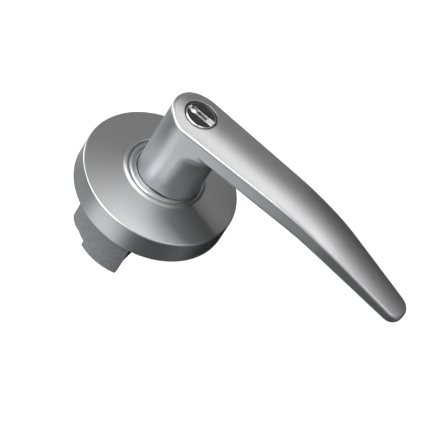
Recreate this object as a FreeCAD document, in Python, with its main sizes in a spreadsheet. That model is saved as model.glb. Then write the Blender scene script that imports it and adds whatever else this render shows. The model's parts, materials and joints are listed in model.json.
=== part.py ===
import FreeCAD, Part
import math
import os
import re

import Sketcher
from FreeCAD import Vector

# Outside half of a keyed lever lock for a round door bore, in millimetres.
# The origin is on the lock's axis, in the plane of the door's face.
# -Y points out to the hand, +Y into the door, +Z up, and the lever points along -X.
# A height is measured out from the door's face, a depth into the door.

os.makedirs("parts", exist_ok=True)

sizes = {
    # rose, the round cover on the door
    "rose_radius": 37.8,
    "rose_taper": 0.35,
    "rose_rim": 12.3,
    "rose_front": 15.7,
    "rose_wall": 1.2,
    "rose_edge": 0.9,
    "rose_lip": 19.9,
    "rose_mouth": 18.45,
    "lip_rise": 0.7,
    "lip_round": 0.6,
    # collar and bushing round the neck
    "collar_radius": 18.2,
    "collar_bore": 13.75,
    "collar_flange": 21.0,
    "collar_step": 13.4,
    "collar_crest": 16.8,
    "bushing_front": 16.1,
    "bead_round": 1.54,
    "bead_inner_round": 1.9,
    # plate against the door and cage on it
    "plate_thickness": 2.0,
    "plate_gap": 0.2,
    "cage_radius": 29.0,
    "cage_foot": 33.6,
    "cage_height": 11.4,
    "cage_wall": 1.2,
    "rivet_circle": 31.3,
    "rivet_radius": 1.1,
    "rivet_head": 1.9,
    "rivet_rise": 0.9,
    # lever
    "head_radius": 13.3,
    "lever_crest": 58.1,
    "crown_radius": 42.0,
    "crown_cover": 30.0,
    "crown_overhang": 4.0,
    "crest_straight": 48.0,
    "crest_bend": 158.0,
    "crest_slope": 13.6,
    "lever_back": 47.3,
    "back_straight": 60.0,
    "back_bend": 120.0,
    "back_slope": 9.8,
    "taper_near": 1.9,
    "taper_far": 5.6,
    "waist_place": 77.0,
    "waist_bend": 90.0,
    "lever_length": 121.6,
    "tip_share": 0.96,
    "back_round": 3.4,
    "border_round": 1.4,
    "stock_depth": 14.0,
    "stock_height": 4.0,
    "back_cut": 20.0,
    "cut_over": 5.0,
    "neck_radius": 13.3,
    "neck_stretch": 3.9,
    "neck_foot": 17.1,
    "neck_blend": 6.5,
    "neck_root": 4.0,
    "journal_end": 6.4,
    "dog_inner": 11.8,
    "dog_half_angle": 20.0,
    "dog_gap_angle": 1.0,
    "dog_gap": 0.2,
    "dog_end": 3.7,
    "face_bore": 8.6,
    # spindle and what runs on it
    "spindle_radius": 10.0,
    "spindle_wall": 1.3,
    "spindle_front": 24.0,
    "spindle_rear": 27.0,
    "running_gap": 0.05,
    "washer_thickness": 1.2,
    "washer_radius": 15.0,
    "driver_thickness": 1.8,
    "driver_radius": 17.0,
    "driver_arm": 24.4,
    "arm_root": 0.5,
    "driver_tab": 9.4,
    "clip_thickness": 0.8,
    "clip_depth": 0.5,
    "clip_radius": 11.5,
    "clip_open": 0.6,
    # return spring
    "coil_radius": 20.5,
    "spring_wire": 1.6,
    "coil_rise": 3.8,
    "coil_lift": 0.2,
    "stop_circle": 26.2,
    "stop_radius": 1.1,
    # chassis in the door's bore
    "drum_land": 26.7,
    "drum_radius": 26.4,
    "drum_wall": 1.8,
    "drum_front": 2.0,
    "drum_ring": 8.0,
    "drum_end": 29.0,
    "drum_tab": 32.0,
    "drum_horn": 33.4,
    "horn_root": 15.3,
    "horn_place": 23.2,
    "jaw_half": 10.2,
    "latch_half": 12.4,
    "bearing_wall": 1.7,
    "bearing_flange": 14.6,
    "bearing_flange_thickness": 1.5,
    "post_spacing": 39.0,
    "post_radius": 3.0,
    "post_end": 29.0,
    "post_shank": 2.4,
    "post_thread": 2.1,
    "post_thread_depth": 14.0,
    "guide_place": 13.8,
    "guide_thickness": 1.6,
    "end_plate_thickness": 1.8,
    "end_cut": 10.0,
    "end_cut_half": 14.0,
    "end_flat": 18.0,
    "end_flat_half": 8.0,
    # retractor and cam
    "cam_base": 12.0,
    "cam_turn": 50.0,
    "cam_hub": 11.6,
    "cam_thickness": 4.2,
    "cam_arm": 5.0,
    "cam_root": 8.4,
    "cam_heel": 5.4,
    "cam_crown": 2.2,
    "slide_gap": 0.15,
    "slide_plate": 2.5,
    "slide_half": 15.8,
    "slide_back": 12.5,
    "slide_wall": 1.5,
    "slide_inner": 10.4,
    "slide_outer": 13.1,
    "slide_claw": 18.2,
    "claw_thickness": 2.4,
    "claw_inner": 9.0,
    "slide_shoulder": 4.0,
    "seat_place": 17.4,
    "seat_wall": 1.3,
    "seat_inner": 13.4,
    "coil_place": 14.55,
    "slide_spring": 1.2,
    "slide_spring_bore": 0.6,
    # lock cylinder
    "plug_radius": 6.35,
    "plug_flange": 7.9,
    "plug_flange_thickness": 2.1,
    "plug_front": 57.7,
    "plug_rear": 22.6,
    "plug_clip_radius": 7.35,
    "shell_radius": 9.2,
    "shell_tower": 11.9,
    "tower_width": 8.2,
    "shell_gap": 0.1,
    "shell_rear": 24.6,
    "keyway_width": 2.1,
    "keyway_half": 6.9,
    "keyway_bulb": 2.15,
    "bulb_place": 3.7,
    "blade_half": 5.1,
    "blade_stop": 1.0,
    "pin_radius": 1.4,
    "pin_gap": 0.05,
    "pin_first": 50.5,
    "pin_pitch": 4.6,
    "pin_count": 5,
    "driver_pin": 2.2,
    "key_pin_end": 2.2,
    "shear_gap": 0.02,
    "pin_coil": 1.26,
    "pin_coil_bore": 0.84,
    "cover_thickness": 0.7,
    "cover_lip": 0.4,
    "tail_width": 5.0,
    "tail_thickness": 1.5,
    "tail_rear": 31.0,
    "tail_seat": 1.5,
    # catch that holds the lever on the spindle
    "catch_height": 19.0,
    "catch_radius": 1.5,
    "catch_reach": 12.3,
    "catch_base": 7.0,
    "catch_plate": 0.9,
    "catch_half": 2.2,
    "catch_gap": 0.2,
    "leaf_thickness": 0.4,
}

doc = FreeCAD.newDocument("LeverLock")
sheet = doc.addObject("Spreadsheet::Sheet", "Sizes")
for row, (alias, number) in enumerate(sizes.items(), start=1):
    sheet.set(f"A{row}", alias)
    sheet.set(f"B{row}", str(number))
    sheet.setAlias(f"B{row}", alias)
doc.recompute()

fitted = []


def bound(text):
    """Turn a formula of plain size names into one that reads the sheet."""
    return re.sub(r"[a-z]\w*", lambda word: "Sizes." + word[0] if word[0] in sizes else word[0], str(text))


def newBody(name):
    body = doc.addObject("PartDesign::Body", name)
    body.Label = name
    fitted.append(body)
    return body


def newSketch(body, role, height=None):
    """A sketch on one of the body's planes, moved out along the plane's normal by a formula."""
    sketch = body.newObject("Sketcher::SketchObject", body.Name + "_sketch")
    plane = [item for item in body.Origin.OriginFeatures if item.Role == role][0]
    sketch.AttachmentSupport = [(plane, "")]
    sketch.MapMode = "FlatFace"
    if height is not None:
        sketch.setExpression("AttachmentOffset.Base.z", bound(height))
    return sketch


def place(sketch, geometry, corner, across, along):
    """Bind one point of a sketch's geometry to two formulas."""
    start = sketch.getPoint(geometry, corner)
    for kind, formula, now in (("DistanceX", across, start.x), ("DistanceY", along, start.y)):
        if formula is not None:
            index = sketch.addConstraint(Sketcher.Constraint(kind, -1, 1, geometry, corner, now))
            sketch.setExpression(f"Constraints[{index}]", bound(formula))


def polygon(sketch, corners):
    """A closed outline of straight lines through corners given as formulas."""
    count = len(corners)
    first = sketch.GeometryCount
    turn = 2 * math.pi / count
    start = [Vector(5 * math.cos(i * turn), 5 * math.sin(i * turn), 0) for i in range(count)]
    for i in range(count):
        sketch.addGeometry(Part.LineSegment(start[i], start[(i + 1) % count]), False)
    for i in range(count):
        sketch.addConstraint(Sketcher.Constraint("Coincident", first + i, 2, first + (i + 1) % count, 1))
    for i, (across, along) in enumerate(corners):
        place(sketch, first + i, 1, across, along)


def circle(sketch, across, along, radius):
    index = sketch.addGeometry(Part.Circle(Vector(0, 0, 0), Vector(0, 0, 1), 3.0), False)
    rule = sketch.addConstraint(Sketcher.Constraint("Radius", index, 3.0))
    sketch.setExpression(f"Constraints[{rule}]", bound(radius))
    place(sketch, index, 3, across, along)


def neckSection(sketch, stretch):
    """A round head and a smaller round end, joined by lines that follow the lever's tapered sides."""
    r = sizes["head_radius"]
    s = sizes["neck_stretch"]
    lean = math.radians(sizes["taper_near"])
    small = r - s * math.sin(lean)
    axis = Vector(0, 0, 1)
    near = Part.ArcOfCircle(Part.Circle(Vector(0, 0, 0), axis, r), -math.pi / 2 - lean, math.pi / 2 + lean)
    far = Part.ArcOfCircle(Part.Circle(Vector(-s, 0, 0), axis, small), math.pi / 2 + lean, 1.5 * math.pi - lean)
    sketch.addGeometry(near, False)
    sketch.addGeometry(Part.LineSegment(near.EndPoint, far.StartPoint), False)
    sketch.addGeometry(far, False)
    sketch.addGeometry(Part.LineSegment(far.EndPoint, near.StartPoint), False)
    for one, end, other, begin in ((0, 2, 1, 1), (1, 2, 2, 1), (2, 2, 3, 1), (3, 2, 0, 1)):
        sketch.addConstraint(Sketcher.Constraint("Coincident", one, end, other, begin))
    a = "taper_near * 1 deg"
    end = f"(head_radius - ({stretch}) * sin({a}))"
    place(sketch, 0, 3, "0", "0")
    place(sketch, 0, 2, f"-head_radius * sin({a})", f"head_radius * cos({a})")
    place(sketch, 0, 1, f"-head_radius * sin({a})", None)
    place(sketch, 2, 3, f"-({stretch})", "0")
    place(sketch, 2, 1, f"-({stretch}) - {end} * sin({a})", f"{end} * cos({a})")
    place(sketch, 2, 2, f"-({stretch}) - {end} * sin({a})", None)


def bentLine(sketch, start, height, straight, bend, slope, end):
    """A line, an arc that bends towards the door and a sloping line.

    The names of four sizes give the height, the straight stretch, the bend's radius and the slope.
    """
    high = sizes[height]
    bow = sizes[bend]
    lean = math.radians(sizes[slope])
    turn = Vector(-sizes[straight], -high, 0)
    centre = Vector(-sizes[straight], bow - high, 0)
    leave = centre + Vector(-bow * math.sin(lean), -bow * math.cos(lean), 0)
    finish = leave + Vector(-20, 20 * math.tan(lean), 0)
    sketch.addGeometry(Part.LineSegment(Vector(sizes[start], -high, 0), turn), False)
    arc = Part.Circle(centre, Vector(0, 0, 1), bow)
    sketch.addGeometry(Part.ArcOfCircle(arc, -math.pi / 2 - lean, -math.pi / 2), False)
    sketch.addGeometry(Part.LineSegment(leave, finish), False)
    sketch.addConstraint(Sketcher.Constraint("Coincident", 0, 2, 1, 2))
    sketch.addConstraint(Sketcher.Constraint("Coincident", 1, 1, 2, 1))
    gone = f"{straight} + {bend} * sin({slope} * 1 deg)"
    fallen = f"{bend} * (1 - cos({slope} * 1 deg)) + ({end} - ({gone})) * tan({slope} * 1 deg)"
    place(sketch, 0, 1, start, f"-{height}")
    place(sketch, 0, 2, f"-{straight}", f"-{height}")
    place(sketch, 1, 3, f"-{straight}", f"{bend} - {height}")
    place(sketch, 1, 1, f"-({gone})", None)
    place(sketch, 2, 2, f"-({end})", f"{fallen} - {height}")


def feature(body, kind, sketch, **settings):
    """A feature made from a sketch; text settings are formulas, the rest plain values."""
    item = body.newObject("PartDesign::" + kind, body.Name + "_" + kind.lower())
    item.Profile = sketch
    for key, value in settings.items():
        if isinstance(value, str):
            item.setExpression(key, bound(value))
        else:
            setattr(item, key, value)
    sketch.Visibility = False
    return item


def revolved(name, corners, kind="Revolution", body=None):
    """A ring about the lock's axis from a radius and depth outline."""
    body = body or newBody(name)
    sketch = newSketch(body, "XY_Plane")
    polygon(sketch, corners)
    feature(body, kind, sketch, ReferenceAxis=(sketch, ["V_Axis"]), Angle=360.0)
    return body


def ring(name, inner, outer, front, rear):
    """A plain ring between two radii and two depths."""
    return revolved(name, [(inner, front), (outer, front), (outer, rear), (inner, rear)])


def rounded(body, radius, chosen):
    """Round the edges of the body's last feature that the test function picks."""
    doc.recompute()
    base = body.Tip
    names = [f"Edge{i}" for i, edge in enumerate(base.Shape.Edges, start=1) if chosen(edge)]
    fillet = body.newObject("PartDesign::Fillet", body.Name + "_fillet")
    fillet.Base = (base, names)
    fillet.setExpression("Radius", bound(radius))
    return fillet


def copied(body, item, count):
    """Repeat a feature round the lock's axis."""
    doc.recompute()
    pattern = body.newObject("PartDesign::PolarPattern", body.Name + "_pattern")
    pattern.Originals = [item]
    pattern.Axis = ([axis for axis in body.Origin.OriginFeatures if axis.Role == "Y_Axis"][0], [""])
    pattern.Angle = 360.0
    pattern.Occurrences = count
    body.Tip = pattern
    return pattern


def ringEdge(radius, depth):
    """A test for the round edge of a given radius at a given depth about the lock's axis."""
    def matches(edge):
        curve = edge.Curve
        if not isinstance(curve, Part.Circle):
            return False
        return abs(curve.Radius - radius) < 0.01 and abs(curve.Center.y - depth) < 0.01
    return matches


def values(*names):
    return [sizes[name] for name in names]


def roseCover():
    lean = "(rose_front - rose_rim) / (rose_radius - rose_taper - rose_lip)"
    body = revolved("rose_cover", [
        ("rose_radius", "0"),
        ("rose_radius - rose_taper", "-rose_rim"),
        ("rose_lip", "-rose_front"),
        ("rose_lip", "-rose_front - lip_rise"),
        ("rose_mouth", "-rose_front - lip_rise"),
        ("rose_mouth", f"rose_wall - rose_front - (rose_lip - rose_mouth) * {lean}"),
        ("rose_radius - rose_taper - rose_wall", f"rose_wall * (1 - {lean}) - rose_rim"),
        ("rose_radius - rose_wall", "0"),
    ])
    radius, taper, rim = values("rose_radius", "rose_taper", "rose_rim")
    rounded(body, "rose_edge", ringEdge(radius - taper, -rim))
    top = -sizes["rose_front"] - sizes["lip_rise"]
    rounded(body, "lip_round", ringEdge(sizes["rose_mouth"], top))
    rounded(body, "lip_round", ringEdge(sizes["rose_lip"], top))


def neckCollar():
    body = revolved("neck_collar", [
        ("collar_bore", "-cage_height"),
        ("collar_flange", "-cage_height"),
        ("collar_flange", "-collar_step"),
        ("collar_radius", "-collar_step"),
        ("collar_radius", "-collar_crest"),
        ("collar_bore", "-collar_crest"),
    ])
    rounded(body, "bead_round", ringEdge(sizes["collar_radius"], -sizes["collar_crest"]))
    rounded(body, "bead_inner_round", ringEdge(sizes["collar_bore"], -sizes["collar_crest"]))


def neckBushing():
    ring("neck_bushing", "neck_radius + running_gap", "collar_bore", "-bushing_front", "cage_wall - cage_height")


def mountingPlate():
    body = ring("mounting_plate", "spindle_radius + running_gap + bearing_wall",
                "rose_radius - rose_wall - plate_gap", "-plate_thickness", "0")
    holes = newSketch(body, "XZ_Plane")
    circle(holes, "rivet_circle", "0", "rivet_radius")
    drilled = feature(body, "Pocket", holes, Length="plate_thickness * 3", Midplane=True)
    copied(body, drilled, 4)
    pins = newSketch(body, "XZ_Plane")
    circle(pins, "0", "-stop_circle", "stop_radius")
    for side in ("", "-"):
        circle(pins, "0", f"{side}post_spacing / 2", "post_shank")
    feature(body, "Pocket", pins, Length="plate_thickness * 3", Midplane=True)


def springCage():
    body = revolved("spring_cage", [
        ("cage_foot", "-plate_thickness"),
        ("cage_foot", "-plate_thickness - cage_wall"),
        ("cage_radius", "-plate_thickness - cage_wall"),
        ("cage_radius", "-cage_height"),
        ("collar_bore", "-cage_height"),
        ("collar_bore", "cage_wall - cage_height"),
        ("cage_radius - cage_wall", "cage_wall - cage_height"),
        ("cage_radius - cage_wall", "-plate_thickness"),
    ])
    holes = newSketch(body, "XZ_Plane")
    circle(holes, "rivet_circle", "0", "rivet_radius")
    drilled = feature(body, "Pocket", holes, Length="(plate_thickness + cage_wall) * 3", Midplane=True)
    copied(body, drilled, 4)
    rounded(body, "cage_wall", ringEdge(sizes["cage_radius"], -sizes["cage_height"]))


def cageRivets():
    body = newBody("cage_rivets")
    shank = newSketch(body, "XZ_Plane", "0")
    circle(shank, "rivet_circle", "0", "rivet_radius")
    feature(body, "Pad", shank, Length="plate_thickness + cage_wall")
    head = newSketch(body, "XZ_Plane", "plate_thickness + cage_wall")
    circle(head, "rivet_circle", "0", "rivet_head")
    feature(body, "Pad", head, Length="rivet_rise")
    doc.recompute()
    pattern = body.newObject("PartDesign::PolarPattern", "cage_rivets_pattern")
    pattern.Originals = [item for item in body.Group if item.TypeId == "PartDesign::Pad"]
    pattern.Axis = ([axis for axis in body.Origin.OriginFeatures if axis.Role == "Y_Axis"][0], [""])
    pattern.Angle = 360.0
    pattern.Occurrences = 4
    body.Tip = pattern


def stopPin():
    body = newBody("stop_pin")
    sketch = newSketch(body, "XZ_Plane", "0")
    circle(sketch, "0", "-stop_circle", "stop_radius")
    feature(body, "Pad", sketch, Length="driver_tab")


def returnSpring():
    washer_top = "plate_thickness + washer_thickness + driver_thickness + 4 * running_gap"
    body = ring("return_spring", "coil_radius - spring_wire / 2", "coil_radius + spring_wire / 2",
                f"-({washer_top} + coil_rise)", f"-({washer_top} + coil_lift)")
    for side, level in (("", "2 * coil_lift"), ("-", "coil_rise - spring_wire")):
        leg = newSketch(body, "XZ_Plane", f"{washer_top} + {level}")
        near = f"{side}(stop_radius + running_gap)"
        far = f"{side}(stop_radius + running_gap + spring_wire)"
        polygon(leg, [(near, "-coil_radius"), (far, "-coil_radius"),
                      (far, "-stop_circle - stop_radius"), (near, "-stop_circle - stop_radius")])
        feature(body, "Pad", leg, Length="spring_wire")


def hubBearing():
    inner = "spindle_radius + running_gap"
    outer = "spindle_radius + running_gap + bearing_wall"
    flange = "drum_front + bearing_flange_thickness"
    revolved("hub_bearing", [
        (inner, "-plate_thickness"),
        (outer, "-plate_thickness"),
        (outer, "drum_front"),
        ("bearing_flange", "drum_front"),
        ("bearing_flange", flange),
        (outer, flange),
        (outer, "drum_ring"),
        (inner, "drum_ring"),
    ])


def thrustWasher():
    ring("thrust_washer", "spindle_radius + 2 * running_gap", "washer_radius",
         "-plate_thickness - washer_thickness - running_gap", "-plate_thickness - running_gap")


def mountingPosts():
    body = newBody("mounting_posts")
    for side in ("", "-"):
        place_z = f"{side}post_spacing / 2"
        shank = newSketch(body, "XZ_Plane", "plate_thickness")
        circle(shank, "0", place_z, "post_shank")
        feature(body, "Pad", shank, Length="plate_thickness + drum_front", Reversed=True)
        post = newSketch(body, "XZ_Plane", "-drum_front")
        circle(post, "0", place_z, "post_radius")
        feature(body, "Pad", post, Length="post_end - drum_front", Reversed=True)
        thread = newSketch(body, "XZ_Plane", "-post_end")
        circle(thread, "0", place_z, "post_thread")
        feature(body, "Pocket", thread, Length="post_thread_depth", Reversed=True)


def chassisHousing():
    """A drum with a closed front and a wider land that centres in the bore, with two jaws behind the land."""
    hole = "spindle_radius + running_gap + bearing_wall"
    body = revolved("chassis_housing", [
        (hole, "0"),
        ("drum_land", "0"),
        ("drum_land", "drum_ring"),
        ("drum_radius", "drum_ring"),
        ("drum_radius", "drum_horn"),
        ("drum_radius - drum_wall", "drum_horn"),
        ("drum_radius - drum_wall", "drum_front"),
        (hole, "drum_front"),
    ])
    wide = "drum_land + cut_over"
    rear = "drum_horn + cut_over"
    side = newSketch(body, "XY_Plane")
    polygon(side, [
        (f"-({wide})", "drum_ring"),
        ("-jaw_half", "drum_ring"),
        ("-jaw_half", "drum_tab"),
        ("jaw_half", "drum_tab"),
        ("jaw_half", "drum_end"),
        ("horn_root", "drum_end"),
        ("horn_place", "drum_horn"),
        (wide, "drum_horn"),
        (wide, rear),
        (f"-({wide})", rear),
    ])
    feature(body, "Pocket", side, Length="drum_radius * 3", Midplane=True)
    latch = newSketch(body, "YZ_Plane", "0")
    polygon(latch, [
        ("drum_ring", "-latch_half"),
        (rear, "-latch_half"),
        (rear, "latch_half"),
        ("drum_ring", "latch_half"),
    ])
    feature(body, "Pocket", latch, Length=wide, Reversed=True)
    holes = newSketch(body, "XZ_Plane")
    for sign in ("", "-"):
        circle(holes, "0", f"{sign}post_spacing / 2", "post_shank")
    feature(body, "Pocket", holes, Length="drum_front * 3", Midplane=True)


def platePosts(body, depth):
    """Holes for the two posts through a plate."""
    holes = newSketch(body, "XZ_Plane", f"-({depth})")
    for sign in ("", "-"):
        circle(holes, "0", f"{sign}post_spacing / 2", "post_radius")
    feature(body, "Pocket", holes, Length="guide_thickness * 4", Midplane=True)


def guidePlate():
    """A ring in front of the retractor with two seats bent up for the retractor's springs."""
    body = ring("guide_plate", "cam_hub + 2 * slide_gap", "drum_radius - drum_wall", "guide_place",
                "guide_place + guide_thickness")
    platePosts(body, "guide_place")
    seats = newSketch(body, "XZ_Plane", "-(guide_place + guide_thickness)")
    for sign in ("", "-"):
        polygon(seats, [
            ("-seat_place", f"{sign}seat_inner"),
            ("-seat_place - seat_wall", f"{sign}seat_inner"),
            ("-seat_place - seat_wall", f"{sign}slide_half"),
            ("-seat_place", f"{sign}slide_half"),
        ])
    feature(body, "Pad", seats, Length="slide_gap + slide_plate", Reversed=True)


slideFront = "guide_place + guide_thickness + slide_gap"
camFront = f"{slideFront} + slide_plate + slide_gap"
camRear = f"{camFront} + cam_thickness"
endFront = f"{camRear} + 2 * slide_gap"


def endPlate():
    """A ring behind the cam, cut back on the lever's side to stay inside the jaws."""
    body = ring("end_plate", "spindle_radius + running_gap", "drum_radius - drum_wall", endFront,
                f"{endFront} + end_plate_thickness")
    platePosts(body, endFront)
    trim = newSketch(body, "XZ_Plane", f"-({endFront})")
    polygon(trim, [
        ("-drum_land", "drum_land"),
        ("-end_cut", "drum_land"),
        ("-end_cut", "end_cut_half"),
        ("-end_flat", "end_flat_half"),
        ("-end_flat", "-end_flat_half"),
        ("-end_cut", "-end_cut_half"),
        ("-end_cut", "-drum_land"),
        ("-drum_land", "-drum_land"),
    ])
    feature(body, "Pocket", trim, Length="end_plate_thickness * 3", Midplane=True)


def retractor():
    """A U-shaped slide: two arms with claws for the latch, steps for the springs, shoulders for the cam."""
    body = newBody("retractor")
    plate = newSketch(body, "XZ_Plane", f"-({slideFront})")
    polygon(plate, [
        ("-slide_back - slide_wall", "slide_outer"),
        ("-slide_shoulder", "slide_outer"),
        ("-slide_shoulder", "slide_half"),
        ("slide_claw", "slide_half"),
        ("slide_claw", "claw_inner"),
        ("slide_claw - claw_thickness", "claw_inner"),
        ("slide_claw - claw_thickness", "slide_inner"),
        ("-slide_back", "slide_inner"),
        ("-slide_back", "-slide_inner"),
        ("slide_claw - claw_thickness", "-slide_inner"),
        ("slide_claw - claw_thickness", "-claw_inner"),
        ("slide_claw", "-claw_inner"),
        ("slide_claw", "-slide_half"),
        ("-slide_shoulder", "-slide_half"),
        ("-slide_shoulder", "-slide_outer"),
        ("-slide_back - slide_wall", "-slide_outer"),
    ])
    feature(body, "Pad", plate, Length="slide_plate", Reversed=True)
    shoulders = newSketch(body, "XZ_Plane", f"-({slideFront} + slide_plate)")
    for sign in ("", "-"):
        polygon(shoulders, [
            ("-running_gap", f"{sign}(cam_hub + 2 * slide_gap)"),
            ("-slide_shoulder", f"{sign}(cam_hub + 2 * slide_gap)"),
            ("-slide_shoulder", f"{sign}slide_half"),
            ("-running_gap", f"{sign}slide_half"),
        ])
    feature(body, "Pad", shoulders, Length="cam_thickness + slide_gap", Reversed=True)


def retractorSprings():
    body = newBody("retractor_springs")
    for sign in ("", "-"):
        coil = newSketch(body, "YZ_Plane", "-seat_place")
        circle(coil, f"{slideFront} + slide_plate / 2", f"{sign}coil_place", "slide_spring")
        circle(coil, f"{slideFront} + slide_plate / 2", f"{sign}coil_place", "slide_spring_bore")
        feature(body, "Pad", coil, Length="seat_place - slide_shoulder")


def rollbackCam():
    """A hub with two arms whose flanks are involutes, so the slide moves evenly with the turn."""
    base, hub, thick, arm = values("cam_base", "cam_hub", "cam_thickness", "cam_arm")
    low, far, over = values("cam_root", "cam_heel", "cam_crown")
    steps = 6
    flank = []
    for i in range(steps + 1):
        t = math.radians(sizes["cam_turn"]) * i / steps
        flank.append(Vector(base * (math.sin(t) - t * math.cos(t)), 0, base * (math.cos(t) + t * math.sin(t))))
    curve = Part.BSplineCurve()
    curve.interpolate(flank)
    root = Vector(0, 0, low)
    heel = Vector(far, 0, low)
    crown = flank[-1] + Vector(over, 0, 0)
    shoulder = Vector(arm, 0, base)
    edges = [
        Part.makeLine(root, flank[0]),
        curve.toShape(),
        Part.makeLine(flank[-1], crown),
        Part.makeLine(crown, shoulder),
        Part.makeLine(shoulder, heel),
        Part.makeLine(heel, root),
    ]
    arms = Part.Face(Part.Wire(edges)).extrude(Vector(0, thick, 0))
    lower = arms.mirror(Vector(0, 0, 0), Vector(0, 0, 1))
    disc = Part.makeCylinder(hub, thick, Vector(0, 0, 0), Vector(0, 1, 0))
    bore = Part.makeCylinder(sizes["spindle_radius"], thick, Vector(0, 0, 0), Vector(0, 1, 0))
    cam = doc.addObject("Part::Feature", "rollback_cam")
    cam.Shape = disc.fuse([arms, lower]).cut(bore).removeSplitter()
    cam.Label = "rollback_cam"
    cam.setExpression("Placement.Base.y", bound(camFront))
    fitted.append(cam)


def spindleSleeve():
    body = ring("spindle_sleeve", "spindle_radius - spindle_wall", "spindle_radius", "-spindle_front",
                "spindle_rear")
    driver_top = "plate_thickness + washer_thickness + driver_thickness + 3 * running_gap"
    for front, rear in ((f"-({driver_top} + clip_thickness)", f"-({driver_top})"),
                        (f"{endFront} + end_plate_thickness + slide_gap",
                         f"{endFront} + end_plate_thickness + slide_gap + clip_thickness")):
        revolved("", [
            ("spindle_radius - clip_depth", front),
            ("spindle_radius + cut_over", front),
            ("spindle_radius + cut_over", rear),
            ("spindle_radius - clip_depth", rear),
        ], "Groove", body)
    hole = newSketch(body, "XY_Plane")
    circle(hole, "0", "-catch_height", "catch_radius + running_gap")
    feature(body, "Pocket", hole, Length="spindle_radius * 2")


def springDriver():
    low = "plate_thickness + washer_thickness + 2 * running_gap"
    body = ring("spring_driver", "spindle_radius", "driver_radius", f"-({low} + driver_thickness)", f"-({low})")
    notch = newSketch(body, "XZ_Plane", low)
    wide = "neck_radius * sin((dog_half_angle + dog_gap_angle) * 1 deg)"
    for sign in ("", "-"):
        polygon(notch, [
            (f"{sign}(dog_inner - dog_gap) * cos(dog_half_angle * 1 deg)", wide),
            (f"{sign}(neck_radius + dog_gap)", wide),
            (f"{sign}(neck_radius + dog_gap)", f"-{wide}"),
            (f"{sign}(dog_inner - dog_gap) * cos(dog_half_angle * 1 deg)", f"-{wide}"),
        ])
    feature(body, "Pocket", notch, Length="driver_thickness * 3", Midplane=True)
    arm = newSketch(body, "XZ_Plane", low)
    polygon(arm, [
        ("-stop_radius", "arm_root - driver_radius"),
        ("stop_radius", "arm_root - driver_radius"),
        ("stop_radius", "-driver_arm"),
        ("-stop_radius", "-driver_arm"),
    ])
    feature(body, "Pad", arm, Length="driver_thickness")
    tab = newSketch(body, "XZ_Plane", f"{low} + driver_thickness")
    polygon(tab, [
        ("-stop_radius", "-driver_arm + driver_thickness"),
        ("stop_radius", "-driver_arm + driver_thickness"),
        ("stop_radius", "-driver_arm"),
        ("-stop_radius", "-driver_arm"),
    ])
    feature(body, "Pad", tab, Length=f"driver_tab - ({low}) - driver_thickness")


def openRing(name, inner, outer, front, rear, gap):
    """A ring with an opening towards -Z, wide enough to slip over its groove."""
    body = ring(name, inner, outer, front, rear)
    sketch = newSketch(body, "XZ_Plane", f"-({front})")
    polygon(sketch, [
        (f"-({gap})", "0"),
        (gap, "0"),
        (gap, f"-({outer}) - cut_over"),
        (f"-({gap})", f"-({outer}) - cut_over"),
    ])
    feature(body, "Pocket", sketch, Length=f"3 * (({rear}) - ({front}))", Midplane=True)


def clips():
    driver_top = "plate_thickness + washer_thickness + driver_thickness + 3 * running_gap"
    grooved = "spindle_radius - clip_depth"
    openRing("driver_clip", grooved, "clip_radius", f"-({driver_top} + clip_thickness)", f"-({driver_top})",
             "spindle_radius * clip_open")
    behind = f"{endFront} + end_plate_thickness + slide_gap"
    openRing("spindle_clip", grooved, "clip_radius", behind, f"{behind} + clip_thickness",
             "spindle_radius * clip_open")
    openRing("plug_clip", "plug_radius - clip_depth", "plug_clip_radius", "-shell_rear + running_gap",
             "-shell_rear + running_gap + clip_thickness", "plug_radius * clip_open")


def lever():
    body = newBody("lever")
    root = newSketch(body, "XZ_Plane", "lever_back - stock_depth")
    halfOutline(root)
    half = feature(body, "Pad", root, Length="lever_crest - lever_back + stock_depth + stock_height")
    doc.recompute()
    whole = body.newObject("PartDesign::Mirrored", "lever_mirrored")
    whole.Originals = [half]
    whole.MirrorPlane = ([item for item in body.Origin.OriginFeatures if item.Role == "XY_Plane"][0], [""])
    body.Tip = whole
    head = newSketch(body, "XZ_Plane", "lever_back - stock_depth")
    circle(head, "0", "0", "head_radius")
    feature(body, "Pad", head, Length="lever_crest - lever_back + stock_depth + stock_height")
    doc.recompute()
    end = -sizes["lever_length"]
    half = "head_radius / cos(taper_near * 1 deg) - waist_place * tan(taper_near * 1 deg)"
    narrow = f"{half} - (lever_length - waist_place) * tan(taper_far * 1 deg)"
    rounded(body, f"tip_share * ({narrow})", lambda edge: upright(edge) and abs(edge.CenterOfMass.x - end) < 0.01)

    under = newSketch(body, "XY_Plane")
    bentLine(under, "head_radius", "lever_back", "back_straight", "back_bend", "back_slope",
             "lever_length + cut_over")
    close(under, "lever_length + cut_over", "back_cut - lever_back", "head_radius")
    feature(body, "Pocket", under, Length="head_radius * 3", Midplane=True)

    path = newSketch(body, "XY_Plane")
    bentLine(path, "crown_radius", "lever_crest", "crest_straight", "crest_bend", "crest_slope",
             "lever_length + 2 * cut_over")
    crown = newSketch(body, "YZ_Plane", "crown_radius")
    crownSection(crown)
    cut = body.newObject("PartDesign::SubtractivePipe", "lever_crown")
    cut.Profile = crown
    cut.Spine = (path, ["Edge1", "Edge2", "Edge3"])
    cut.Mode = "Fixed"
    bordered(body, "back_round", 1)
    bordered(body, "border_round", -1)

    neck(body)
    return body


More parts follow.
